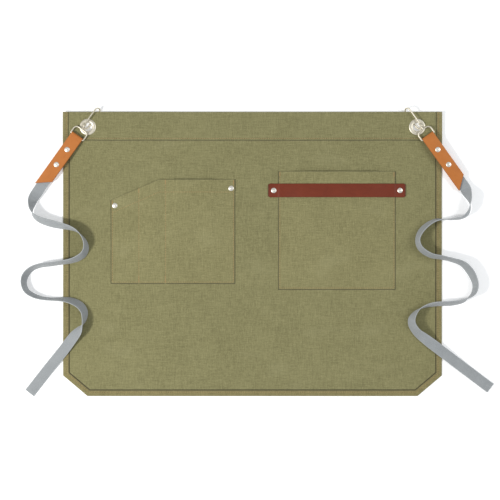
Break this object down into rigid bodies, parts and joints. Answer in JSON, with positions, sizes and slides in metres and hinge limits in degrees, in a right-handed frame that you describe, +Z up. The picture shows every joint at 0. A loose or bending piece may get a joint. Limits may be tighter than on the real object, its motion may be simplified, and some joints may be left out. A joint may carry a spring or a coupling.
{
  "type": "waist apron",
  "caption": "Canvas half apron laid flat, with a tool pocket, a square pocket under a leather towel strap, and webbing waist ties on leather tabs with snap hooks.",
  "frame": {"origin": "middle of the canvas, on the flat surface under it", "axes": "+X along the waistband, towards the right as the front is seen from above; +Y towards the waistband; +Z up, out of the apron's front"},
  "size_m": [0.8721, 0.5333, 0.0228],
  "materials": {
    "canvas": "waxed plain-weave canvas, khaki olive, matte",
    "canvas_hem": "folded hem of the same canvas with a tan seam thread",
    "webbing": "ribbed cotton webbing, light grey",
    "tan_leather": "smooth tan leather with darker edges",
    "oxblood_leather": "smooth red-brown leather with burnished edges",
    "pale_nickel": "polished pale nickel with a warm tint",
    "rivet_metal": "polished nickel rivet caps",
    "steel": "spring steel"
  },
  "bodies": {
    "apron": {"main_panel": "canvas", "waistband": "canvas", "hem_left": "canvas_hem", "hem_right": "canvas_hem", "hem_bottom": "canvas_hem", "hem_corner_left": "canvas_hem", "hem_corner_right": "canvas_hem", "tool_pocket": "canvas", "square_pocket": "canvas", "towel_strap": "oxblood_leather", "strap_rivets": "rivet_metal", "strap_rivet_backs": "rivet_metal", "pocket_rivets": "rivet_metal", "pocket_rivet_backs": "rivet_metal", "eyelet_left": "pale_nickel", "eyelet_right": "pale_nickel", "eyelet_washer_left": "pale_nickel", "eyelet_washer_right": "pale_nickel"},
    "hook_left": {"snap_hook_left": "pale_nickel", "gate_pin_left": "steel", "gate_spring_left": "steel"},
    "gate_left": {"gate_left": "pale_nickel"},
    "tab_left": {"tab_left": "tan_leather", "tie_anchor_left": "webbing", "tab_rivets_left": "rivet_metal", "tab_rivet_backs_left": "rivet_metal", "tie_left": "webbing"},
    "hook_right": {"snap_hook_right": "pale_nickel", "gate_pin_right": "steel", "gate_spring_right": "steel"},
    "gate_right": {"gate_right": "pale_nickel"},
    "tab_right": {"tab_right": "tan_leather", "tie_anchor_right": "webbing", "tab_rivets_right": "rivet_metal", "tab_rivet_backs_right": "rivet_metal", "tie_right": "webbing"}
  },
  "joints": [
    {"name": "hook_swing_left", "type": "hinge", "parent": "apron", "child": "hook_left", "pos_m": [-0.304, 0.2345, 0], "axis": [0, 0, 1], "range_deg": [-2, 20], "deforming": ["tie_left"]},
    {"name": "gate_open_left", "type": "hinge", "parent": "hook_left", "child": "gate_left", "pos_m": [-0.30874, 0.23943, 0.01215], "axis": [-0.6627, 0.4815, -0.5736], "range_deg": [0, 10], "stiffness_Nm_per_rad": 0.03, "springref_deg": -8.59},
    {"name": "tab_lift_left", "type": "hinge", "parent": "hook_left", "child": "tab_left", "pos_m": [-0.32362, 0.21662, 0.0102], "axis": [-0.809, 0.5878, 0], "range_deg": [0, 90], "deforming": ["tie_left"]},
    {"name": "hook_swing_right", "type": "hinge", "parent": "apron", "child": "hook_right", "pos_m": [0.304, 0.2345, 0], "axis": [0, 0, -1], "range_deg": [-2, 20], "deforming": ["tie_right"]},
    {"name": "gate_open_right", "type": "hinge", "parent": "hook_right", "child": "gate_right", "pos_m": [0.30874, 0.23943, 0.01215], "axis": [-0.6627, -0.4815, 0.5736], "range_deg": [0, 10], "stiffness_Nm_per_rad": 0.03, "springref_deg": -8.59},
    {"name": "tab_lift_right", "type": "hinge", "parent": "hook_right", "child": "tab_right", "pos_m": [0.32362, 0.21662, 0.0102], "axis": [-0.809, -0.5878, 0], "range_deg": [0, 90], "deforming": ["tie_right"]}
  ]
}
